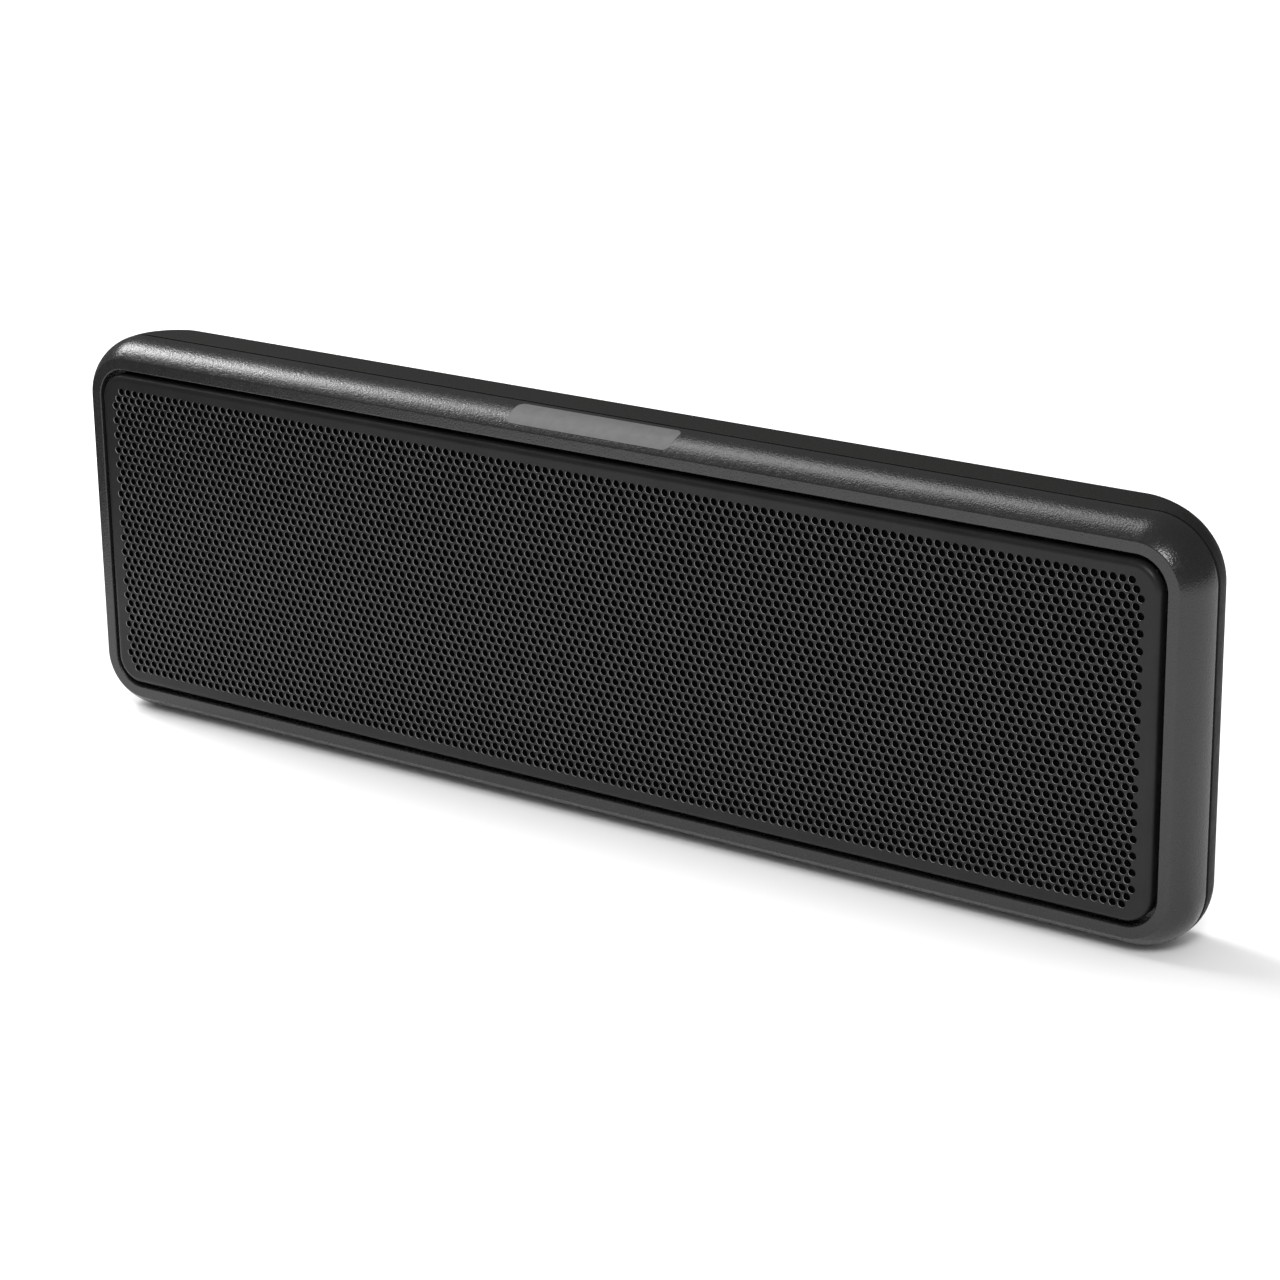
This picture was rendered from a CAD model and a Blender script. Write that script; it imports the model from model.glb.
"""The looks of a slim conference loudspeaker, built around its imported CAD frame.

Lengths are in metres, +Z up, -Y the front. Most positions come from the frame's own boxes.
"""
import math

import bmesh
import bpy
from mathutils import Matrix, Vector, noise


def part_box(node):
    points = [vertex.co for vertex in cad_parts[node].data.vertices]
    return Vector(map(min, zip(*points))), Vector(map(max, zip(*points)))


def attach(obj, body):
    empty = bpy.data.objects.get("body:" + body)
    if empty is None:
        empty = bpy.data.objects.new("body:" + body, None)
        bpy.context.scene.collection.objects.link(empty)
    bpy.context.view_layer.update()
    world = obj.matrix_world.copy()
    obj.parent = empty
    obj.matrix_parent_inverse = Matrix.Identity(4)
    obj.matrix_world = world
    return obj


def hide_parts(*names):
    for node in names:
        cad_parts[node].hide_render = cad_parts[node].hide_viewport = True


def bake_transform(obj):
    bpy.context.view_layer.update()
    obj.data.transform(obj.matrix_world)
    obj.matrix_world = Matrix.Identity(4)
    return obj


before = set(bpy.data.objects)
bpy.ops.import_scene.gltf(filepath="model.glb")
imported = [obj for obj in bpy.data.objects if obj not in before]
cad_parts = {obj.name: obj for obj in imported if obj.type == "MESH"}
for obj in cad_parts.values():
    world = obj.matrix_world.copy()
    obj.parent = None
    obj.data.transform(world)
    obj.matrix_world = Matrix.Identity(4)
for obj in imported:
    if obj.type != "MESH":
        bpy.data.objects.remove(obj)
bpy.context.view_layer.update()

MM = 0.001

# ---------------------------------------------------------------- sizes, from the frame
BEZEL_LO, BEZEL_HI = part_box("front_bezel")
SHELL_LO, SHELL_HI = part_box("rear_shell")
GRILLE_LO, GRILLE_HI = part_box("grille")
CLOTH_LO, CLOTH_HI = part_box("grille_cloth")

HALF_W = BEZEL_HI.x
HALF_H = (BEZEL_HI.z - BEZEL_LO.z) / 2
MID_Z = (BEZEL_HI.z + BEZEL_LO.z) / 2
LAND_Y = BEZEL_LO.y
SEAM_Y = SHELL_LO.y
BACK_Y = SHELL_HI.y
FACE_Y = GRILLE_LO.y
RIM_Y = GRILLE_HI.y
BAFFLE_Y = RIM_Y + 0.3 * MM
MOUNT_Y = BAFFLE_Y + 1.6 * MM

CASE_R = 10 * MM
FLARE = 2.8 * MM
LAND_W = 1.9 * MM
WALL = 1.6 * MM
END_ROUND = 7 * MM
BACK_EDGE = 1.2 * MM
EDGE_DEPTH = SEAM_Y - LAND_Y
EDGE_R = (FLARE**2 + EDGE_DEPTH**2) / (2 * FLARE)

HOLE_PITCH = 1.5 * MM
HOLE_R = 0.62 * MM
HOLE_ROWS = 39
HOLE_COLUMNS = 130
HOLE_SIDES = 12
SHEET = 0.8 * MM
PAN_CORNER = 4.5 * MM
PAN_EDGE = 1.0 * MM

CORNER_STEPS = 20
DRIVER_X = (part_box("right_magnet")[0].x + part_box("right_magnet")[1].x) / 2
DRIVER_OPENING = 17.6 * MM
SCREW_CIRCLE = 20.8 * MM
REVEAL = 0.6 * MM
LIP_IN = 2 * MM

CASE_HEAD_R = 2.2 * MM
CASE_SCREW_RISE = 24 * MM
CASE_BOSS_R = 2.8 * MM
CASE_BOSS_END = 2 * MM
CASE_BORE_R = 1.0 * MM
BOARD_HEAD_R = 1.8 * MM
BOARD_BOSS_R = 2.3 * MM
BOARD_BORE_R = 0.8 * MM
BORE_END = 3 * MM
INSERT_R = 2.75 * MM
PLATE_CORNER = 1.5 * MM

TERMINAL_LO, TERMINAL_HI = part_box("left_wire_terminal")[0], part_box("right_wire_terminal")[1]
TERMINAL_Z = (TERMINAL_LO.z + TERMINAL_HI.z) / 2
TERMINAL_H = TERMINAL_HI.z - TERMINAL_LO.z


# ---------------------------------------------------------------- camera
def make_camera():
    """A long lens from the right and above, at the angle the object is usually shown from."""
    lens, place = 102.3, Vector((316.5, -444.8, 216.8)) * MM
    yaw, pitch, roll = math.radians(34.95), math.radians(19.0), math.radians(-0.78)
    ahead = Vector((-math.sin(yaw) * math.cos(pitch), math.cos(yaw) * math.cos(pitch), -math.sin(pitch)))
    level = Vector((math.cos(yaw), math.sin(yaw), 0))
    upright = level.cross(ahead)
    right = level * math.cos(roll) + upright * math.sin(roll)
    up = upright * math.cos(roll) - level * math.sin(roll)
    data = bpy.data.cameras.new("camera")
    data.lens, data.sensor_width = lens, 36
    data.clip_start, data.clip_end = 0.01, 20
    camera = bpy.data.objects.new("camera", data)
    camera.matrix_world = Matrix.Translation(place) @ Matrix((right, up, -ahead)).transposed().to_4x4()
    bpy.context.scene.collection.objects.link(camera)
    bpy.context.scene.camera = camera


# ---------------------------------------------------------------- mesh helpers
def outline(half_w, half_h, radius):
    """Points (x, z) of a rounded rectangle about the middle, anticlockwise from its right side."""
    points = []
    for quarter, (side_x, side_z) in enumerate(((1, 1), (-1, 1), (-1, -1), (1, -1))):
        for step in range(CORNER_STEPS + 1):
            angle = math.radians(90 * (quarter + step / CORNER_STEPS))
            points.append((
                side_x * (half_w - radius) + radius * math.cos(angle),
                side_z * (half_h - radius) + radius * math.sin(angle),
            ))
    return points


def ring(half_w, half_h, radius, y):
    """That outline stood up at depth y on the case's axis."""
    return [(x, y, MID_Z + z) for x, z in outline(half_w, half_h, radius)]


def case_ring(inset, y):
    """A ring of the case, moved in from its outer outline."""
    return ring(HALF_W - inset, HALF_H - inset, CASE_R - inset, y)


def pan_ring(inset, y):
    """A ring of the grille pan, moved in from its rim."""
    half_w, half_h = GRILLE_HI.x, (GRILLE_HI.z - GRILLE_LO.z) / 2
    return ring(half_w - inset, half_h - inset, PAN_CORNER - inset, y)


def soften(points, sizes, steps=4):
    """A profile with each inner corner cut back by its size and rounded."""
    out = [Vector(points[0])]
    for before, corner, after, size in zip(points, points[1:], points[2:], sizes):
        corner = Vector(corner)
        if size == 0:
            out.append(corner)
            continue
        start = corner + (Vector(before) - corner).normalized() * size
        end = corner + (Vector(after) - corner).normalized() * size
        for step in range(steps + 1):
            t = step / steps
            out.append(start * (1 - t) ** 2 + corner * 2 * t * (1 - t) + end * t**2)
    out.append(Vector(points[-1]))
    return out


def loft(rings, caps=(True, True)):
    """Vertices and faces of a skin over rings of equal length."""
    count = len(rings[0])
    vertices = [p for r in rings for p in r]
    faces = []
    for level in range(len(rings) - 1):
        for k in range(count):
            a, b = level * count + k, level * count + (k + 1) % count
            faces.append((a, b, b + count, a + count))
    if caps[0]:
        faces.append(tuple(reversed(range(count))))
    if caps[1]:
        faces.append(tuple(range((len(rings) - 1) * count, len(rings) * count)))
    return vertices, faces


def circle(x, z, radius, y, sides):
    """A ring of points about an axis along Y."""
    turn = [2 * math.pi * k / sides for k in range(sides)]
    return [(x + radius * math.cos(a), y, z + radius * math.sin(a)) for a in turn]


def panel(x, z, half_w, half_h, radius, y):
    """A rounded rectangle of points about (x, z)."""
    return [(x + u, y, z + v) for u, v in outline(half_w, half_h, radius)]


def rod(x, z, radius, start, end, sides=48):
    """A round bar along Y."""
    return loft([circle(x, z, radius, y, sides) for y in (start, end)])


def block(x, z, half_w, half_h, radius, start, end):
    """A rounded rectangular bar along Y."""
    return loft([panel(x, z, half_w, half_h, radius, y) for y in (start, end)])


def joined(parts):
    """Several lots of vertices and faces as one."""
    vertices, faces = [], []
    for more_vertices, more_faces in parts:
        base = len(vertices)
        vertices += list(more_vertices)
        faces += [tuple(base + k for k in f) for f in more_faces]
    return vertices, faces


def make(name, shape, outward=True):
    """A mesh object in the scene."""
    mesh = bpy.data.meshes.new(name)
    mesh.from_pydata([tuple(v) for v in shape[0]], [], shape[1])
    if outward:
        work = bmesh.new()
        work.from_mesh(mesh)
        bmesh.ops.recalc_face_normals(work, faces=work.faces)
        work.to_mesh(mesh)
        work.free()
    piece = bpy.data.objects.new(name, mesh)
    bpy.context.scene.collection.objects.link(piece)
    return piece


def boolean(piece, shape, operation):
    """Cuts shape out of the piece, or adds it, and keeps the result as plain mesh."""
    tool = make("tool", shape)
    modifier = piece.modifiers.new("boolean", "BOOLEAN")
    modifier.object, modifier.operation, modifier.solver = tool, operation, "EXACT"
    bpy.context.view_layer.update()
    result = bpy.data.meshes.new_from_object(piece.evaluated_get(bpy.context.evaluated_depsgraph_get()))
    piece.modifiers.clear()
    piece.data = result
    bpy.data.objects.remove(tool)


def smooth(piece, angle=35):
    """Smooth shading that keeps sharp edges and flat faces."""
    piece.data.shade_smooth()
    piece.data.set_sharp_from_angle(angle=math.radians(angle))
    weighted = piece.modifiers.new("normals", "WEIGHTED_NORMAL")
    weighted.keep_sharp = True


def dress(piece, node, finish, rides=True):
    """Gives the piece its material and the CAD node it stands for, and lets it ride on the case."""
    piece.data.materials.clear()
    piece.data.materials.append(finish)
    if rides:
        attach(piece, "case")
    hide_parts(node)


# ---------------------------------------------------------------- materials
class Finish:
    """A Principled material with a few building blocks for its colour, roughness and bump."""

    def __init__(self, name, colour, roughness, metallic=0.0, specular=0.5, coat=0.0):
        self.material = bpy.data.materials.new(name)
        self.material.use_nodes = True
        self.tree = self.material.node_tree
        self.shader = self.tree.nodes["Principled BSDF"]
        self.colour, self.roughness = colour, roughness
        self.set("Base Color", (*colour, 1))
        self.set("Roughness", roughness)
        self.set("Metallic", metallic)
        self.set("Specular IOR Level", specular)
        if coat:
            self.set("Coat Weight", coat)
            self.set("Coat Roughness", 0.15)
        self.coordinates = self.node("ShaderNodeTexCoord").outputs["Object"]
        self.bumps = None

    def set(self, socket, value):
        self.shader.inputs[socket].default_value = value

    def node(self, kind, **values):
        made = self.tree.nodes.new(kind)
        for key, value in values.items():
            setattr(made, key, value)
        return made

    def link(self, source, target):
        self.tree.links.new(source, target)

    def noise(self, size, detail=3.0, stretch=(1, 1, 1)):
        """Noise with features of about the given size in metres."""
        texture = self.node("ShaderNodeTexNoise")
        texture.inputs["Scale"].default_value = 1 / size
        texture.inputs["Detail"].default_value = detail
        source = self.coordinates
        if stretch != (1, 1, 1):
            mapping = self.node("ShaderNodeMapping")
            mapping.inputs["Scale"].default_value = stretch
            self.link(source, mapping.inputs["Vector"])
            source = mapping.outputs["Vector"]
        self.link(source, texture.inputs["Vector"])
        return texture.outputs["Fac"]

    def cells(self, size):
        """Distance from the middle of the nearest of many random cells."""
        texture = self.node("ShaderNodeTexVoronoi")
        texture.inputs["Scale"].default_value = 1 / size
        self.link(self.coordinates, texture.inputs["Vector"])
        return texture.outputs["Distance"]

    def waves(self, size, axis):
        """Parallel bands at the given spacing in metres, across the axis."""
        texture = self.node("ShaderNodeTexWave", bands_direction=axis)
        texture.inputs["Scale"].default_value = 0.314 / size
        self.link(self.coordinates, texture.inputs["Vector"])
        return texture.outputs["Fac"]

    def remap(self, value, low, high, start=0.3, end=0.7):
        """Spreads value from start..end over low..high."""
        node = self.node("ShaderNodeMapRange")
        for name, number in (("From Min", start), ("From Max", end), ("To Min", low), ("To Max", high)):
            node.inputs[name].default_value = number
        self.link(value, node.inputs["Value"])
        return node.outputs["Result"]

    def blend_colour(self, value, other, start=0.3, end=0.7):
        """Goes from the base colour to another as value rises."""
        mix = self.node("ShaderNodeMix", data_type="RGBA")
        mix.inputs["A"].default_value = (*self.colour, 1)
        mix.inputs["B"].default_value = (*other, 1)
        self.link(self.remap(value, 0, 1, start, end), mix.inputs["Factor"])
        self.link(mix.outputs["Result"], self.shader.inputs["Base Color"])

    def choose(self, first, second, mask):
        """Takes one value or the other, by patches."""
        mix = self.node("ShaderNodeMix", data_type="FLOAT")
        self.link(self.remap(mask, 0, 1, 0.49, 0.51), mix.inputs["Factor"])
        self.link(first, mix.inputs["A"])
        self.link(second, mix.inputs["B"])
        return mix.outputs["Result"]

    def vary_roughness(self, value, spread, start=0.3, end=0.7):
        low, high = self.roughness - spread, self.roughness + spread
        self.link(self.remap(value, low, high, start, end), self.shader.inputs["Roughness"])

    def bump(self, value, height, strength=1.0):
        """Adds a bump of the given height in metres on top of those already there."""
        node = self.node("ShaderNodeBump")
        node.inputs["Distance"].default_value = height
        node.inputs["Strength"].default_value = strength
        self.link(value, node.inputs["Height"])
        if self.bumps is not None:
            self.link(self.bumps, node.inputs["Normal"])
        self.bumps = node.outputs["Normal"]
        self.link(self.bumps, self.shader.inputs["Normal"])


def satin_plastic():
    """The bezel: satin black with a fine spark-eroded grain."""
    f = Finish("satin_plastic", (0.014, 0.014, 0.0145), 0.25, specular=0.5)
    f.blend_colour(f.noise(20 * MM), (0.018, 0.018, 0.0186))
    f.vary_roughness(f.noise(0.8 * MM, 4), 0.05)
    f.bump(f.noise(0.3 * MM, 1), 0.04 * MM)
    return f.material


def matt_plastic():
    """The rear shell: charcoal with a coarser, duller grain."""
    f = Finish("matt_plastic", (0.009, 0.0088, 0.0084), 0.65, specular=0.2)
    f.blend_colour(f.noise(0.5 * MM, 4), (0.014, 0.0137, 0.013))
    f.vary_roughness(f.noise(1.2 * MM, 3), 0.06)
    f.bump(f.noise(0.35 * MM, 3), 0.04 * MM, 0.8)
    return f.material


def powder_coat():
    """The grille: black powder coat on steel, with a trace of orange peel and softened hole edges."""
    f = Finish("powder_coat", (0.009, 0.009, 0.0094), 0.4, specular=0.24)
    bevel = f.node("ShaderNodeBevel", samples=4)
    bevel.inputs["Radius"].default_value = 0.15 * MM
    f.bumps = bevel.outputs["Normal"]
    f.blend_colour(f.noise(8 * MM), (0.013, 0.013, 0.0134))
    f.vary_roughness(f.noise(0.5 * MM, 3), 0.06)
    f.bump(f.noise(0.3 * MM, 2), 0.012 * MM, 0.6)
    return f.material


def hole_edges():
    """The walls of the grille's holes: thin, lighter paint at the punched edge, dark further in."""
    f = Finish("hole_edges", (0.55, 0.55, 0.555), 0.5, specular=0.2)
    depth = f.node("ShaderNodeSeparateXYZ")
    f.link(f.coordinates, depth.inputs["Vector"])
    wear = f.node("ShaderNodeMath", operation="MULTIPLY_ADD")
    wear.inputs[1].default_value, wear.inputs[2].default_value = 0.12 * MM, -0.06 * MM
    f.link(f.noise(0.7 * MM), wear.inputs[0])
    level = f.node("ShaderNodeMath", operation="ADD")
    f.link(depth.outputs["Y"], level.inputs[0])
    f.link(wear.outputs["Value"], level.inputs[1])
    f.blend_colour(level.outputs["Value"], (0.002, 0.002, 0.002), FACE_Y + 0.05 * MM, FACE_Y + 0.12 * MM)
    f.bump(f.noise(0.2 * MM), 0.006 * MM, 0.5)
    return f.material


def acoustic_cloth():
    """The lining behind the holes: black, plainly woven."""
    f = Finish("acoustic_cloth", (0.004, 0.004, 0.004), 0.95, specular=0.1)
    warp, weft = f.waves(0.25 * MM, "X"), f.waves(0.25 * MM, "Z")
    f.blend_colour(warp, (0.008, 0.008, 0.008), 0.2, 0.8)
    f.bump(warp, 0.04 * MM, 0.5)
    f.bump(weft, 0.04 * MM, 0.5)
    return f.material


def badge_paint():
    """The bar on top: matt grey."""
    f = Finish("badge_paint", (0.09, 0.091, 0.09), 0.55, specular=0.3)
    f.blend_colour(f.noise(1.5 * MM), (0.105, 0.106, 0.105))
    f.vary_roughness(f.noise(0.4 * MM), 0.06)
    f.bump(f.noise(0.2 * MM), 0.006 * MM, 0.5)
    return f.material


def floor_paint():
    f = Finish("floor_paint", (0.94, 0.94, 0.94), 0.6, specular=0.2)
    f.blend_colour(f.noise(0.5), (0.95, 0.95, 0.95))
    return f.material


def flag_cloth():
    f = Finish("flag_cloth", (0.03, 0.03, 0.03), 0.9, specular=0.1)
    f.blend_colour(f.noise(2 * MM), (0.04, 0.04, 0.04))
    return f.material


def soft_rubber():
    """Surrounds and seals."""
    f = Finish("soft_rubber", (0.012, 0.012, 0.012), 0.5, specular=0.4)
    f.blend_colour(f.noise(3 * MM), (0.018, 0.018, 0.018))
    f.vary_roughness(f.noise(1 * MM, 4), 0.1)
    f.bump(f.noise(0.3 * MM, 2), 0.01 * MM)
    return f.material


def foam(name, colour, cell):
    """Open or closed-cell foam with cells of the given size."""
    f = Finish(name, colour, 0.95, specular=0.1)
    f.blend_colour(f.cells(cell), tuple(0.45 * c for c in colour), 0.05, 0.5)
    f.bump(f.cells(cell), 0.5 * cell)
    f.bump(f.noise(6 * cell), cell, 0.4)
    return f.material


def metal(name, colour, roughness):
    """Plated or bare metal with a fine mottle."""
    f = Finish(name, colour, roughness, metallic=1.0)
    f.blend_colour(f.noise(2 * MM), tuple(0.85 * c for c in colour))
    f.vary_roughness(f.noise(0.3 * MM, 4), 0.08)
    f.bump(f.noise(0.12 * MM, 2), 0.004 * MM, 0.5)
    return f.material


def coated_metal(name, colour, roughness):
    """Painted, blackened or dipped pieces."""
    f = Finish(name, colour, roughness, specular=0.5)
    f.blend_colour(f.noise(1 * MM, 4), tuple(1.3 * c for c in colour))
    f.vary_roughness(f.noise(0.4 * MM, 3), 0.08)
    f.bump(f.noise(0.2 * MM, 2), 0.008 * MM, 0.6)
    return f.material


def moulded(name, colour, roughness=0.45):
    """Plain injection-moulded plastic with a light texture."""
    f = Finish(name, colour, roughness, specular=0.45)
    f.blend_colour(f.noise(4 * MM), tuple(0.8 * c for c in colour))
    f.vary_roughness(f.noise(0.6 * MM, 3), 0.07)
    f.bump(f.noise(0.25 * MM, 2), 0.008 * MM, 0.6)
    return f.material


def solder_mask():
    """A green board with the faint raised lines of its copper tracks."""
    f = Finish("solder_mask", (0.008, 0.07, 0.028), 0.32, coat=0.2)
    tracks = f.choose(f.waves(1.3 * MM, "X"), f.waves(1.6 * MM, "Z"), f.noise(9 * MM, 0))
    f.blend_colour(tracks, (0.015, 0.11, 0.045), 0.7, 0.8)
    f.bump(f.remap(tracks, 0, 1, 0.7, 0.8), 0.03 * MM, 0.8)
    f.vary_roughness(f.noise(1 * MM), 0.05)
    return f.material


def woven_disc():
    """The spider's resin-treated cloth."""
    f = Finish("woven_disc", (0.42, 0.27, 0.09), 0.75, specular=0.25)
    warp, weft = f.waves(0.3 * MM, "X"), f.waves(0.3 * MM, "Z")
    f.blend_colour(warp, (0.34, 0.21, 0.07), 0.2, 0.8)
    f.bump(warp, 0.05 * MM, 0.8)
    f.bump(weft, 0.05 * MM, 0.8)
    return f.material


def paper_pulp():
    """Cones and dust caps."""
    f = Finish("paper_pulp", (0.016, 0.016, 0.016), 0.85, specular=0.2)
    f.blend_colour(f.noise(0.8 * MM, 5, (1, 4, 1)), (0.03, 0.03, 0.029))
    f.bump(f.noise(0.4 * MM, 5, (1, 3, 1)), 0.05 * MM, 0.8)
    return f.material


def wound_copper():
    """Coils, with a line for each turn."""
    f = Finish("wound_copper", (0.5, 0.19, 0.07), 0.3, metallic=1.0)
    turns = f.waves(0.15 * MM, "Y")
    f.blend_colour(turns, (0.3, 0.1, 0.03), 0.0, 0.4)
    f.bump(turns, 0.05 * MM)
    return f.material


def brushed_foil():
    """The blank plate on the back."""
    f = Finish("brushed_foil", (0.15, 0.15, 0.15), 0.42, metallic=0.6)
    grain = f.noise(0.15 * MM, 3, (0.03, 1, 1))
    f.blend_colour(grain, (0.21, 0.21, 0.21))
    f.vary_roughness(grain, 0.1)
    f.bump(grain, 0.004 * MM, 0.5)
    return f.material


# ---------------------------------------------------------------- the case
def build_bezel(finish):
    """The front housing: rounded edge, flat ring, grille recess and baffle wall in one moulding."""
    turn, steps = math.asin(EDGE_DEPTH / EDGE_R), 18
    edge = [
        (EDGE_R * (1 - math.cos(turn * k / steps)), SEAM_Y - EDGE_R * math.sin(turn * k / steps))
        for k in range(steps + 1)
    ]
    opening = FLARE + LAND_W
    # the seal's groove, from its inner wall to its outer one
    inner, outer, floor_y = 1.4 * MM, 0.7 * MM, SEAM_Y - 0.8 * MM
    back = soften(
        [(LIP_IN, MOUNT_Y), (LIP_IN, SEAM_Y), (inner, SEAM_Y), (inner, floor_y),
         (outer, floor_y), (outer, SEAM_Y), (0, SEAM_Y), edge[1]],
        [0, 0, 0, 0, 0, 0.12 * MM],
    )
    front = soften(
        [edge[-2], edge[-1], (opening, LAND_Y), (opening, BAFFLE_Y)],
        [0.14 * MM, 0.25 * MM],
    )
    profile = [*back, *edge[2:-2], *front]
    piece = make("bezel_moulding", loft([case_ring(inset, y) for inset, y in profile]))
    boolean(piece, bosses(), "UNION")
    holes = [
        rod(side * DRIVER_X, MID_Z, DRIVER_OPENING, BAFFLE_Y - MM, MOUNT_Y + MM, 96)
        for side in (-1, 1)
    ]
    boolean(piece, joined(holes), "DIFFERENCE")
    boolean(piece, screw_bores(), "DIFFERENCE")
    smooth(piece)
    dress(piece, "front_bezel", finish)


def board_screw_spots():
    """One screw near each corner of the circuit board: (x, z)."""
    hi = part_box("board_screws")[1]
    x, z = hi.x - BOARD_HEAD_R, hi.z - MID_Z - BOARD_HEAD_R
    return [(sx * x, MID_Z + sz * z) for sx in (-1, 1) for sz in (-1, 1)]


def case_screw_spots():
    """Four screws at the corners and two above and below the middle."""
    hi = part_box("case_screws")[1]
    x, z = hi.x - CASE_HEAD_R, hi.z - MID_Z - CASE_HEAD_R
    corners = [(sx * x, MID_Z + sz * CASE_SCREW_RISE) for sx in (-1, 1) for sz in (-1, 1)]
    return corners + [(0, MID_Z - z), (0, MID_Z + z)]


def bosses():
    """The pillars behind the baffle, for the case screws and the circuit board."""
    root, board_y = MOUNT_Y - 0.3 * MM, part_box("circuit_board")[0].y
    case = [rod(x, z, CASE_BOSS_R, root, CASE_BOSS_END, 32) for x, z in case_screw_spots()]
    board = [rod(x, z, BOARD_BOSS_R, root, board_y, 32) for x, z in board_screw_spots()]
    return joined(case + board)


def screw_bores():
    """The blind holes down the middle of those pillars."""
    bottom = MOUNT_Y + 0.4 * MM
    case = [rod(x, z, CASE_BORE_R, bottom, BORE_END, 24) for x, z in case_screw_spots()]
    board = [rod(x, z, BOARD_BORE_R, bottom, BORE_END, 24) for x, z in board_screw_spots()]
    return joined(case + board)


def shell_ring(y, wall=0.0):
    """The rear shell's ring at depth y: its ends curve in early, its long edges only at the back."""
    bend_y, reach = BACK_Y - END_ROUND, END_ROUND - wall
    edge_y = BACK_Y - BACK_EDGE
    over = min(max(y - bend_y, 0), reach)
    in_x = reach - math.sqrt(reach**2 - over**2)
    edge = max(BACK_EDGE - wall, 0.2 * MM)
    over = min(max(y - edge_y, 0), edge)
    in_z = edge - math.sqrt(edge**2 - over**2)
    radius = CASE_R - wall + 0.4 * in_x
    return ring(HALF_W - wall - in_x, HALF_H - wall - in_z, radius, y)


def build_shell(finish):
    """The rear shell, with the seam's shadow line, screw recesses, insert bosses and connector window."""
    bend_y = BACK_Y - END_ROUND
    outer = [bend_y + END_ROUND * math.sin(math.radians(a)) for a in range(0, 91, 6)]
    inner_reach = END_ROUND - WALL
    inner = [bend_y + inner_reach * math.sin(math.radians(a)) for a in range(90, -1, -10)]
    seam = soften(
        [(REVEAL, SEAM_Y), (REVEAL, SEAM_Y + REVEAL), (0, SEAM_Y + REVEAL), (0, bend_y)],
        [0, 0.12 * MM],
    )
    rings = [case_ring(inset, y) for inset, y in seam[:-1]]
    rings += [shell_ring(y) for y in outer]
    rings += [shell_ring(y, WALL) for y in inner]
    step_y = SEAM_Y + 0.6 * MM
    rings += [case_ring(WALL, step_y), case_ring(LIP_IN, step_y), case_ring(LIP_IN, SEAM_Y)]
    # the back face and the inside face close the skin, and the rim joins its two ends
    count = len(rings[0])
    vertices, faces = loft(rings, caps=(False, False))
    last_outer = len(seam) - 1 + len(outer) - 1
    faces = [f for f in faces if not (f[0] // count == last_outer)]
    faces.append(tuple(range(last_outer * count, (last_outer + 1) * count)))
    faces.append(tuple(range((last_outer + 1) * count, (last_outer + 2) * count)))
    rim = (len(rings) - 1) * count
    faces += [(rim + k, rim + (k + 1) % count, (k + 1) % count, k) for k in range(count)]
    piece = make("rear_cover", (vertices, faces))
    boolean(piece, shell_pillars(), "UNION")
    boolean(piece, shell_holes(), "DIFFERENCE")
    smooth(piece)
    dress(piece, "rear_shell", finish)


def insert_spots():
    """The two threaded inserts, either side of the middle: (x, z)."""
    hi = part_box("mount_inserts")[1]
    return [(side * (hi.x - INSERT_R), MID_Z) for side in (-1, 1)]


def shell_pillars():
    """The solid round each screw and insert, and the frame round the wire terminals."""
    inside = BACK_Y - 1.0 * MM
    pillar_r, pillar_y = 3.2 * MM, 2.2 * MM
    boss_r, boss_y = 4.2 * MM, 2.4 * MM
    border, corner = 2 * MM, 1.5 * MM
    screws = [rod(x, z, pillar_r, pillar_y, inside, 32) for x, z in case_screw_spots()]
    inserts = [rod(x, z, boss_r, boss_y, inside, 40) for x, z in insert_spots()]
    frame_w, frame_h = TERMINAL_HI.x + border, TERMINAL_H / 2 + border
    window = block(0, TERMINAL_Z, frame_w, frame_h, corner, boss_y, inside)
    return joined(screws + inserts + [window])


def shell_holes():
    """What is cut from the back: screw holes and recesses, insert seats, window and plate bed."""
    out = BACK_Y + MM
    shank_r, shank_end = 1.35 * MM, BACK_Y - 1.9 * MM
    head_r, head_y = 2.4 * MM, BACK_Y - 2 * MM
    seat_r, seat_y = 2.8 * MM, 2.8 * MM
    parts = [rod(x, z, shank_r, 0, shank_end, 32) for x, z in case_screw_spots()]
    parts += [recess(x, z, head_r, head_y, out) for x, z in case_screw_spots()]
    parts += [recess(x, z, seat_r, seat_y, out) for x, z in insert_spots()]
    clear, corner = 0.2 * MM, 0.6 * MM
    parts.append(block(0, TERMINAL_Z, TERMINAL_HI.x + clear, TERMINAL_H / 2 + clear, corner, 0, out))
    clear, bed_y = 0.1 * MM, BACK_Y - 0.2 * MM
    x, z, half_w, half_h = face_of("rating_plate")
    parts.append(block(x, z, half_w + clear, half_h + clear, PLATE_CORNER, bed_y, out))
    return joined(parts)


def face_of(node):
    """The middle (x, z) of a node, and half its width and height."""
    lo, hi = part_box(node)
    return (lo.x + hi.x) / 2, (lo.z + hi.z) / 2, (hi.x - lo.x) / 2, (hi.z - lo.z) / 2


def recess(x, z, radius, start, end):
    """A cutter for a round recess whose mouth has a small lead-in at the back face."""
    lead = 0.2 * MM
    profile = [(radius, start), (radius, BACK_Y - lead), (radius + lead, BACK_Y), (radius + lead, end)]
    return loft([circle(x, z, r, y, 48) for r, y in profile])


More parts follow.
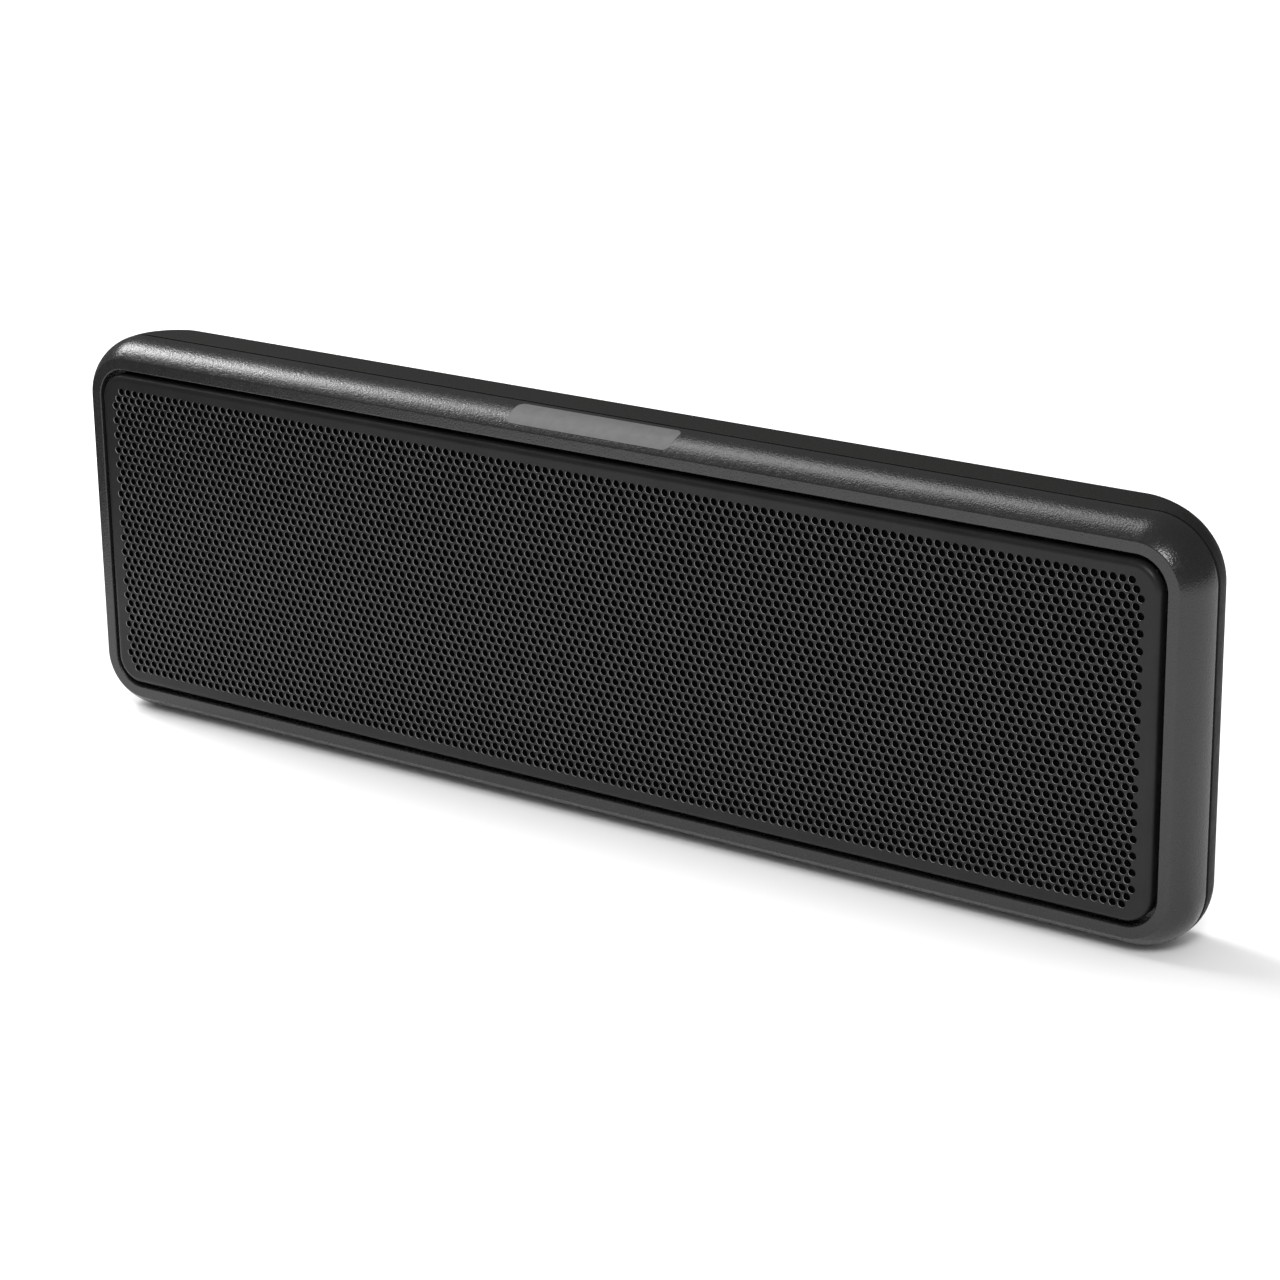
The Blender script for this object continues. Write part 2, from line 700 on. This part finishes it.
def build_badge(finish):
    """A plain bar that follows the rounded edge, with softened corners and edges."""
    lo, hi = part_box("badge")
    half_w, half_h, corner, soft = (hi.x - lo.x) / 2, 2.5 * MM, 1.2 * MM, 0.08 * MM
    middle, top, bottom = math.radians(24), 0.05 * MM, -0.25 * MM
    steps = 32
    rows = []
    for k in range(steps + 1):
        v = -half_h * math.cos(math.pi * k / steps)
        over = max(abs(v) - (half_h - corner), 0)
        half = half_w - corner + math.sqrt(max(corner**2 - over**2, 0))
        edge = soft if 0 < k < steps else 0
        across = [
            (-half, bottom), (-half, top - soft), (-half + edge, top),
            (half - edge, top), (half, top - soft), (half, bottom),
        ]
        drop = soft if k in (0, steps) else 0
        row = []
        for x, height in across:
            angle = middle - v / EDGE_R
            radius = EDGE_R + min(height, top - drop)
            row.append((x, SEAM_Y - radius * math.sin(angle), 2 * HALF_H - EDGE_R + radius * math.cos(angle)))
        rows.append(row)
    piece = make("badge_bar", loft(rows))
    smooth(piece, 50)
    dress(piece, "badge", finish)


# ---------------------------------------------------------------- the grille
def hole_rows():
    """The hole centres, row by row from the top: {(row, half-pitch column): (x, z)}."""
    centres = {}
    for row in range(HOLE_ROWS):
        z = ((HOLE_ROWS - 1) / 2 - row) * HOLE_PITCH * math.sqrt(3) / 2
        count = HOLE_COLUMNS - row % 2
        ends = 1 if row in (0, HOLE_ROWS - 1) else 0
        for k in range(ends, count - ends):
            half_steps = 2 * k + row % 2
            centres[row, half_steps] = ((half_steps - (HOLE_COLUMNS - 1)) * HOLE_PITCH / 2, z)
    return centres


def build_grille(finish, edge_finish):
    """The perforated pan: each hole a true hole through the sheet, and a rolled rim round them."""
    centres = hole_rows()
    order = {key: k for k, key in enumerate(centres)}
    corners = [math.radians(15 + 30 * k) for k in range(HOLE_SIDES)]
    hole = [(HOLE_R * math.cos(a), HOLE_R * math.sin(a)) for a in corners]
    vertices, faces = [], []
    for x, z in centres.values():
        vertices += [(x + u, FACE_Y, MID_Z + z + v) for u, v in hole]
    deep = len(vertices)
    vertices += [(x, FACE_Y + SHEET, z) for x, _, z in vertices]

    def corner(key, degrees):
        """The front corner of a hole at 15, 45, 75 ... degrees."""
        return order[key] * HOLE_SIDES + (degrees - 15) // 30 % HOLE_SIDES

    # a web of four corners joins each pair of neighbouring holes, and six corners fill each gap of three
    for key in centres:
        first = order[key] * HOLE_SIDES
        for k in range(HOLE_SIDES):
            a, b = first + k, first + (k + 1) % HOLE_SIDES
            faces.append((a, b, b + deep, a + deep))
        row, column = key
        right, lower_right, lower_left = (row, column + 2), (row + 1, column + 1), (row + 1, column - 1)
        upper_right = (row - 1, column + 1)
        for other, angle in ((right, 0), (lower_right, 300), (lower_left, 240)):
            if other in centres:
                faces.append((
                    corner(key, angle - 15), corner(other, angle + 195),
                    corner(other, angle + 165), corner(key, angle + 15),
                ))
        for second, third, angle in ((right, upper_right, 0), (lower_right, right, 300)):
            if second in centres and third in centres:
                faces.append((
                    corner(key, angle + 15), corner(second, angle + 165), corner(second, angle + 135),
                    corner(third, angle + 285), corner(third, angle + 255), corner(key, angle + 45),
                ))
    piece = make("grille_pan", (vertices, faces), outward=False)
    add_rim(piece)
    smooth(piece, 40)
    dress(piece, "grille", finish)
    piece.data.materials.append(edge_finish)
    inside_w = GRILLE_HI.x - 2 * PAN_EDGE
    inside_h = (GRILLE_HI.z - GRILLE_LO.z) / 2 - 2 * PAN_EDGE
    for polygon in piece.data.polygons:
        x, y, z = polygon.center
        in_sheet = abs(x) < inside_w and abs(z - MID_Z) < inside_h
        polygon.material_index = int(in_sheet and y > FACE_Y + 0.1 * SHEET)


def add_rim(piece):
    """Fills the sheet out to the pan's bend, and adds the bend and the rim turned back from it."""
    work = bmesh.new()
    work.from_mesh(piece.data)
    work.verts.ensure_lookup_table()
    flat_y = FACE_Y + 1e-6
    inner = []
    for edge in work.edges:
        if all(v.co.y < flat_y for v in edge.verts):
            fronts = sum(all(v.co.y < flat_y for v in f.verts) for f in edge.link_faces)
            on_hole = len(edge.link_faces) > fronts
            if (on_hole and fronts == 0) or (not on_hole and fronts == 1):
                inner.append(edge)
    bend = [
        (PAN_EDGE * (1 - math.sin(math.radians(a))), FACE_Y + PAN_EDGE * (1 - math.cos(math.radians(a))))
        for a in range(0, 91, 9)
    ]
    margin, chamfer = 0.12 * MM, 0.05 * MM
    profile = [(PAN_EDGE + margin, FACE_Y), *bend]
    profile += [(0, RIM_Y - chamfer), (chamfer, RIM_Y), (SHEET, RIM_Y), (SHEET, FACE_Y + SHEET)]
    rings = [[work.verts.new(p) for p in pan_ring(inset, y)] for inset, y in profile]
    for one, two in zip(rings, rings[1:]):
        for k, vertex in enumerate(one):
            nxt = (k + 1) % len(one)
            work.faces.new((vertex, two[k], two[nxt], one[nxt]))
    first = rings[0]
    border = [work.edges.get((a, b)) for a, b in zip(first, first[1:] + first[:1])]
    bmesh.ops.triangle_fill(work, edges=inner + border, normal=(0, -1, 0))
    bmesh.ops.recalc_face_normals(work, faces=work.faces)
    work.to_mesh(piece.data)
    work.free()


def build_cloth(finish):
    """Acoustic cloth stretched flat behind the holes."""
    half_w, half_h = CLOTH_HI.x, (CLOTH_HI.z - CLOTH_LO.z) / 2
    level = CLOTH_LO.y + 0.02 * MM + 0.06 * MM
    columns, rows = 120, 32
    slack, wave_x, wave_z = 0.05 * MM, 160, 130
    vertices, faces = [], []
    for j in range(rows + 1):
        for i in range(columns + 1):
            x, z = half_w * (2 * i / columns - 1), half_h * (2 * j / rows - 1)
            sag = slack * math.sin(x * wave_x) * math.sin(z * wave_z) ** 2
            vertices.append((x, level + sag, MID_Z + z))
    for j in range(rows):
        for i in range(columns):
            a = j * (columns + 1) + i
            faces.append((a, a + 1, a + columns + 2, a + columns + 1))
    piece = make("grille_lining", (vertices, faces), outward=False)
    piece.data.shade_smooth()
    dress(piece, "grille_cloth", finish)


# ---------------------------------------------------------------- the back
def build_plate(finish):
    """A blank plate with a softened edge and a fine line pressed round it."""
    lo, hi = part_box("rating_plate")
    x, z, half_w, half_h = face_of("rating_plate")
    line = 0.03 * MM
    profile = [
        (0, lo.y), (0, hi.y - 0.05 * MM), (0.02 * MM, hi.y - 0.015 * MM), (0.06 * MM, hi.y),
        (0.75 * MM, hi.y), (0.8 * MM, hi.y - line), (0.95 * MM, hi.y - line), (1.0 * MM, hi.y),
    ]
    rings = [
        panel(x, z, half_w - inset, half_h - inset, PLATE_CORNER - inset, y)
        for inset, y in profile
    ]
    piece = make("blank_plate", loft(rings))
    smooth(piece)
    dress(piece, "rating_plate", finish)


def build_terminal(side, finish):
    """One pole of the wire terminals, with funnelled holes for the wire and the release pin."""
    node = f"{side}_wire_terminal"
    lo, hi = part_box(node)
    x, _, half_w, _ = face_of(node)
    edge, corner = 0.25 * MM, 0.5 * MM
    profile = [(edge, lo.y), (0, lo.y + edge), (0, hi.y - edge), (0.08 * MM, hi.y - 0.08 * MM), (edge, hi.y)]
    rings = [
        panel(x, TERMINAL_Z, half_w - inset, TERMINAL_H / 2 - inset, corner, y)
        for inset, y in profile
    ]
    piece = make(f"{side}_clamp_terminal", loft(rings))
    hole_x = 2.5 * MM * (1 if side == "right" else -1)
    wire_r, wire_z, wire_y = 1.2 * MM, TERMINAL_Z - 1.6 * MM, BACK_Y - 5 * MM
    pin_r, pin_z, pin_y = 0.9 * MM, TERMINAL_Z + 2 * MM, BACK_Y - 2 * MM
    wire = funnel(hole_x, wire_z, wire_r, wire_y, hi.y)
    release = funnel(hole_x, pin_z, pin_r, pin_y, hi.y)
    boolean(piece, joined([wire, release]), "DIFFERENCE")
    smooth(piece)
    dress(piece, node, finish)


def funnel(x, z, radius, start, mouth):
    """A cutter for a round hole along Y whose mouth opens out a little."""
    lead = 0.3 * MM
    profile = [(radius, start), (radius, mouth - lead), (radius + lead, mouth), (radius + lead, mouth + MM)]
    return loft([circle(x, z, r, y, 40) for r, y in profile])


def build_inserts(finish):
    """Knurled brass inserts with a chamfered, threaded bore."""
    lo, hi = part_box("mount_inserts")
    outer, bore, thread_r, pitch = INSERT_R, 1.65 * MM, 1.95 * MM, 0.7 * MM
    chamfer, collar, depth = 0.2 * MM, 0.45 * MM, 0.45 * MM
    groove = [(-0.12 * MM, outer), (0, outer - depth), (0.3 * MM, outer - depth), (0.42 * MM, outer)]
    middle = (lo.y + hi.y) / 2
    outside = [(outer - chamfer, lo.y), (outer, lo.y + chamfer)]
    outside += [(r, middle - 0.15 * MM + y) for y, r in groove]
    outside += [(outer, hi.y - collar), (outer - chamfer, hi.y - 0.4 * MM), (outer - chamfer, hi.y)]
    inside = [(thread_r, hi.y), (bore, hi.y - 0.3 * MM)]
    y = hi.y - collar
    while y - pitch > lo.y + chamfer:
        inside += [(bore, y), (thread_r, y - 0.45 * pitch), (bore, y - 0.9 * pitch)]
        y -= pitch
    inside.append((bore, lo.y))
    knurl = [outer - 1e-6 <= r for r, _ in outside]
    shapes = []
    steps, tooth_depth = 96, 0.1 * MM
    for x, z in insert_spots():
        rings = []
        for k in range(steps):
            angle = 2 * math.pi * k / steps
            tooth = tooth_depth * (k % 3 == 0)
            points = [(r - tooth * cut, y) for (r, y), cut in zip(outside, knurl)] + inside
            rings.append([(x + r * math.cos(angle), y, z + r * math.sin(angle)) for r, y in points])
        shapes.append(closed_loft(rings))
    piece = make("threaded_insert_pair", joined(shapes))
    smooth(piece, 30)
    dress(piece, "mount_inserts", finish)


# ---------------------------------------------------------------- the inside
def closed_loft(rings):
    """A skin over rings that come back round to the first one."""
    count, levels = len(rings[0]), len(rings)
    vertices = [p for r in rings for p in r]
    faces = []
    for level in range(levels):
        for k in range(count):
            a, b = level * count + k, level * count + (k + 1) % count
            c, d = (b + count) % (levels * count), (a + count) % (levels * count)
            faces.append((a, b, c, d))
    return vertices, faces


def turned(profile, x, steps=96):
    """A closed profile of (radius, y) turned about a driver's axis."""
    rings = []
    for k in range(steps):
        angle = 2 * math.pi * k / steps
        rings.append([(x + r * math.cos(angle), y, MID_Z + r * math.sin(angle)) for r, y in profile])
    return closed_loft(rings)


def bend_between(piece):
    """Lets a round piece bend from its rim, held by the case, to its middle, which moves with the cone."""
    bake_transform(piece)


def build_surround(side, x, finish):
    """A half roll of rubber with filleted roots and flat glued rims."""
    lo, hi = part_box(f"{side}_surround")
    outer, skin = (hi.x - lo.x) / 2, 0.3 * MM
    base = hi.y - skin
    roll = base - lo.y
    flange, lip, root = 1.5 * MM, 0.9 * MM, 0.2 * MM
    middle = outer - roll - flange
    front = [(middle - roll * math.cos(math.radians(a)), base - roll * math.sin(math.radians(a)))
             for a in range(8, 173, 8)]
    hollow = roll - skin
    back = [(middle + hollow * math.cos(math.radians(a)), base - hollow * math.sin(math.radians(a)))
            for a in range(0, 181, 10)]
    inner = middle - roll - lip
    profile = [(inner, hi.y), (inner, base), (middle - roll - root, base), *front]
    profile += [(middle + roll + root, base), (outer, base), (outer, hi.y)]
    profile += [(middle + roll - 0.1 * MM, hi.y), *back, (middle - roll + 0.1 * MM, hi.y)]
    piece = make(f"{side}_roll_surround", turned(profile, x))
    smooth(piece, 50)
    dress(piece, f"{side}_surround", finish, rides=False)
    bend_between(piece)


def build_spider(side, x, finish):
    """The corrugated disc that centres the voice coil."""
    lo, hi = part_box(f"{side}_spider")
    outer, inner, skin = (hi.x - lo.x) / 2, 6.75 * MM, 0.25 * MM
    rim = outer - 1.1 * MM
    swing = hi.y - lo.y - skin
    steps, folds = 60, 3
    front = []
    for k in range(steps + 1):
        t = k / steps
        wave = 0.5 - 0.5 * math.cos(2 * math.pi * folds * t)
        front.append((inner + (rim - inner) * t, lo.y + swing * wave))
    front.append((outer, lo.y))
    profile = front + [(r, y + skin) for r, y in reversed(front)]
    piece = make(f"{side}_woven_spider", turned(profile, x))
    smooth(piece, 50)
    dress(piece, f"{side}_spider", finish, rides=False)
    bend_between(piece)


def build_driver_seal(side, x, finish):
    """A foam ring under the driver's flange, with rounded edges and a hole for each screw."""
    lo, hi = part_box(f"{side}_driver_gasket")
    outer, inner, edge = (hi.x - lo.x) / 2, 18.9 * MM, 0.12 * MM
    profile = [
        (inner, lo.y + edge), (inner + edge, lo.y), (outer - edge, lo.y), (outer, lo.y + edge),
        (outer, hi.y - edge), (outer - edge, hi.y), (inner + edge, hi.y), (inner, hi.y - edge),
    ]
    piece = make(f"{side}_foam_ring", turned(profile, x))
    turns = [math.radians(a) for a in (45, 135, 225, 315)]
    centres = [(x + SCREW_CIRCLE * math.cos(a), MID_Z + SCREW_CIRCLE * math.sin(a)) for a in turns]
    screw_r = 1.1 * MM
    holes = [rod(u, v, screw_r, lo.y - MM, hi.y + MM, 24) for u, v in centres]
    boolean(piece, joined(holes), "DIFFERENCE")
    smooth(piece, 50)
    dress(piece, f"{side}_driver_gasket", finish)


def build_case_seal(finish):
    """The soft cord in the seam's groove, oval in section."""
    lo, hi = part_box("case_gasket")
    inset, thick = HALF_W - hi.x, 0.5 * MM
    height = hi.y - lo.y
    sides = 12
    rings = []
    for k in range(sides):
        angle = 2 * math.pi * k / sides
        across = 0.5 * thick * (1 - math.cos(angle))
        rings.append(case_ring(inset + across, lo.y + height / 2 + height / 2 * math.sin(angle)))
    piece = make("seam_seal", closed_loft(rings))
    smooth(piece, 60)
    dress(piece, "case_gasket", finish)


def build_pad(side, finish):
    """A block of damping foam, crowned and a little uneven where it was cut."""
    lo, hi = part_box(f"{side}_damping_pad")
    centre, half = (lo + hi) / 2, (hi - lo) / 2
    work = bmesh.new()
    bmesh.ops.create_cube(work, size=2)
    bmesh.ops.subdivide_edges(work, edges=work.edges, cuts=23, use_grid_fill=True)
    corner, crown = 1.6 * MM, 0.35 * MM
    coarse, coarse_mm = 900, 0.12
    fine, fine_mm = 2600, 0.06
    for vertex in work.verts:
        unit = vertex.co.copy()
        point = Vector(u * h for u, h in zip(unit, half))
        core = Vector(max(-h + corner, min(h - corner, p)) for p, h in zip(point, half))
        if (point - core).length > corner:
            point = core + (point - core).normalized() * corner
        for axis in range(3):
            sides = [unit[k] for k in range(3) if k != axis]
            drop = crown * (1 - (1 - sides[0] ** 2) * (1 - sides[1] ** 2))
            point[axis] *= 1 - drop / half[axis]
        grain = noise.noise(point * coarse) * coarse_mm * MM + noise.noise(point * fine) * fine_mm * MM
        point *= 1 - abs(grain) / point.length
        vertex.co = centre + point
    mesh = bpy.data.meshes.new(f"{side}_foam_block")
    work.to_mesh(mesh)
    work.free()
    piece = bpy.data.objects.new(f"{side}_foam_block", mesh)
    bpy.context.scene.collection.objects.link(piece)
    mesh.shade_smooth()
    dress(piece, f"{side}_damping_pad", finish)


# The leads' route from board to tags, in mm: away from the middle, along Y, away from mid height
LEAD_ROUTE = [(21, 2.5, 4), (25.5, 2.5, 4), (29, 1, 2.6), (31.8, 0.07, 2.2), (34.2, 0.07, 2.2)]
LEAD_R = 0.45 * MM


def build_leads(side, finishes):
    """Two insulated wires, red and black, along smooth curves through their route's points."""
    across = 1 if side == "right" else -1
    shapes = []
    for level in (1, -1):
        stations = [Vector((across * x, y, level * z)) * MM for x, y, z in LEAD_ROUTE]
        centres = smooth_path(stations, 8)
        shapes.append(tube([c + Vector((0, 0, MID_Z)) for c in centres], LEAD_R))
    piece = make(f"{side}_lead_pair", joined(shapes))
    piece.data.shade_smooth()
    dress(piece, f"{side}_leads", finishes[0])
    piece.data.materials.append(finishes[1])
    for polygon in piece.data.polygons:
        polygon.material_index = int(polygon.center.z < MID_Z)


def smooth_path(points, steps):
    """Points on a Catmull-Rom curve through the given ones."""
    padded = [points[0] * 2 - points[1], *points, points[-1] * 2 - points[-2]]
    out = []
    for a, b, c, d in zip(padded, padded[1:], padded[2:], padded[3:]):
        for k in range(steps):
            t = k / steps
            out.append(0.5 * (2 * b + (c - a) * t + (2 * a - 5 * b + 4 * c - d) * t**2
                              + (3 * b - a - 3 * c + d) * t**3))
    out.append(points[-1])
    return out


def tube(centres, radius, sides=12):
    """A round tube with closed ends along a line of points."""
    rings = []
    for k, centre in enumerate(centres):
        along = (centres[min(k + 1, len(centres) - 1)] - centres[max(k - 1, 0)]).normalized()
        u = along.cross(Vector((0, 0, 1))).normalized()
        v = u.cross(along)
        turn = [2 * math.pi * j / sides for j in range(sides)]
        rings.append([centre + (u * math.cos(a) + v * math.sin(a)) * radius for a in turn])
    return loft(rings)


def build_inside():
    """The remade pieces inside, and a finish for each CAD piece that keeps its shape."""
    rubber, spider = soft_rubber(), woven_disc()
    foam_ring = foam("closed_foam", (0.02, 0.02, 0.02), 0.15 * MM)
    open_foam = foam("open_foam", (0.05, 0.05, 0.056), 0.5 * MM)
    red = moulded("red_insulation", (0.35, 0.01, 0.01))
    wires = [red, moulded("black_insulation", (0.02, 0.02, 0.02))]
    build_case_seal(rubber)
    for side, x in (("left", -DRIVER_X), ("right", DRIVER_X)):
        build_surround(side, x, rubber)
        build_spider(side, x, spider)
        build_driver_seal(side, x, foam_ring)
        build_pad(side, open_foam)
        build_leads(side, wires)
    black_zinc = coated_metal("black_zinc", (0.018, 0.018, 0.018), 0.4)
    paper = paper_pulp()
    kept = {
        "grille_adhesive": foam("foam_tape", (0.03, 0.03, 0.03), 0.2 * MM),
        "case_screws": black_zinc,
        "circuit_board": solder_mask(),
        "board_screws": metal("zinc_screw", (0.55, 0.55, 0.55), 0.35),
        "filter_capacitor": moulded("capacitor_case", (0.45, 0.1, 0.025), 0.3),
        "filter_choke": wound_copper(),
        "resettable_fuse": moulded("dipped_fuse", (0.55, 0.4, 0.04), 0.25),
        "driver_screws": black_zinc,
        "frame": coated_metal("black_frame", (0.025, 0.025, 0.026), 0.45),
        "yoke": metal("zinc_plate", (0.5, 0.5, 0.49), 0.38),
        "top_plate": metal("steel_plate", (0.46, 0.46, 0.46), 0.42),
        "magnet": metal("nickel", (0.66, 0.65, 0.62), 0.18),
        "cone": paper,
        "dust_cap": paper,
        "voice_coil": wound_copper(),
        "terminals": metal("tinned_brass", (0.62, 0.52, 0.3), 0.35),
    }
    for name, finish in kept.items():
        for node in (name, f"left_{name}", f"right_{name}"):
            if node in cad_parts:
                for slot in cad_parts[node].material_slots:
                    slot.material = finish


# ---------------------------------------------------------------- studio
def area_light(name, place, target, size, power):
    """A rectangular white light aimed at the target."""
    data = bpy.data.lights.new(name, "AREA")
    data.shape, data.size, data.size_y = "RECTANGLE", size[0], size[1]
    data.energy = power
    light = bpy.data.objects.new(name, data)
    light.location = place
    light.rotation_euler = (Vector(target) - Vector(place)).to_track_quat("-Z", "Y").to_euler()
    bpy.context.scene.collection.objects.link(light)
    return light


def build_studio():
    """A white floor in a pale room: two softboxes above at the left, a key in front and a broad fill."""
    floor = make("floor", ([(-4, -4, 0), (4, -4, 0), (4, 4, 0), (-4, 4, 0)], [(0, 1, 2, 3)]), outward=False)
    floor.data.materials.append(floor_paint())
    # a black card on the left that only reflections see, so the highlights stand out
    left, right, near, far, lift = -1.6, -0.17, -1.5, 0.9, 0.2 * MM
    corners = [(left, near, lift), (right, near, lift), (right, far, lift), (left, far, lift)]
    flag = make("flag", (corners, [(0, 1, 2, 3)]), outward=False)
    flag.data.materials.append(flag_cloth())
    flag.visible_camera = flag.visible_diffuse = flag.visible_shadow = flag.visible_transmission = False

    # reflections see a dimmer room than the floor and the camera do
    world = bpy.data.worlds.new("world")
    bpy.context.scene.world = world
    world.use_nodes = True
    tree = world.node_tree
    room, dim = tree.nodes["Background"], tree.nodes.new("ShaderNodeBackground")
    room.inputs["Color"].default_value = dim.inputs["Color"].default_value = (1, 1, 1, 1)
    room.inputs["Strength"].default_value, dim.inputs["Strength"].default_value = 0.6, 0.1
    rays, mix = tree.nodes.new("ShaderNodeLightPath"), tree.nodes.new("ShaderNodeMixShader")
    tree.links.new(rays.outputs["Is Glossy Ray"], mix.inputs[0])
    tree.links.new(room.outputs[0], mix.inputs[1])
    tree.links.new(dim.outputs[0], mix.inputs[2])
    tree.links.new(mix.outputs[0], tree.nodes["World Output"].inputs["Surface"])

    centre = (0, 0, MID_Z)
    area_light("softbox_left", (-1.02, 0.18, 0.95), centre, (0.36, 0.34), 6.8)
    area_light("softbox_middle", (-0.46, 0.18, 0.95), centre, (0.36, 0.3), 1.7)
    area_light("key", (0.45, -0.6, 0.75), centre, (0.3, 0.3), 5)
    # lights the floor and throws the object's soft shadow to the right
    fill = area_light("fill", (-1.1, -0.02, 0.85), centre, (0.8, 0.8), 14)
    fill.visible_glossy = False
    bpy.context.scene.view_settings.view_transform = "Standard"


# ---------------------------------------------------------------- the build
make_camera()
build_studio()
build_bezel(satin_plastic())
build_shell(matt_plastic())
build_badge(badge_paint())
build_grille(powder_coat(), hole_edges())
build_cloth(acoustic_cloth())
build_plate(brushed_foil())
terminal_plastic = moulded("terminal_plastic", (0.012, 0.075, 0.03), 0.4)
build_terminal("left", terminal_plastic)
build_terminal("right", terminal_plastic)
build_inserts(metal("brass", (0.72, 0.5, 0.2), 0.3))
build_inside()
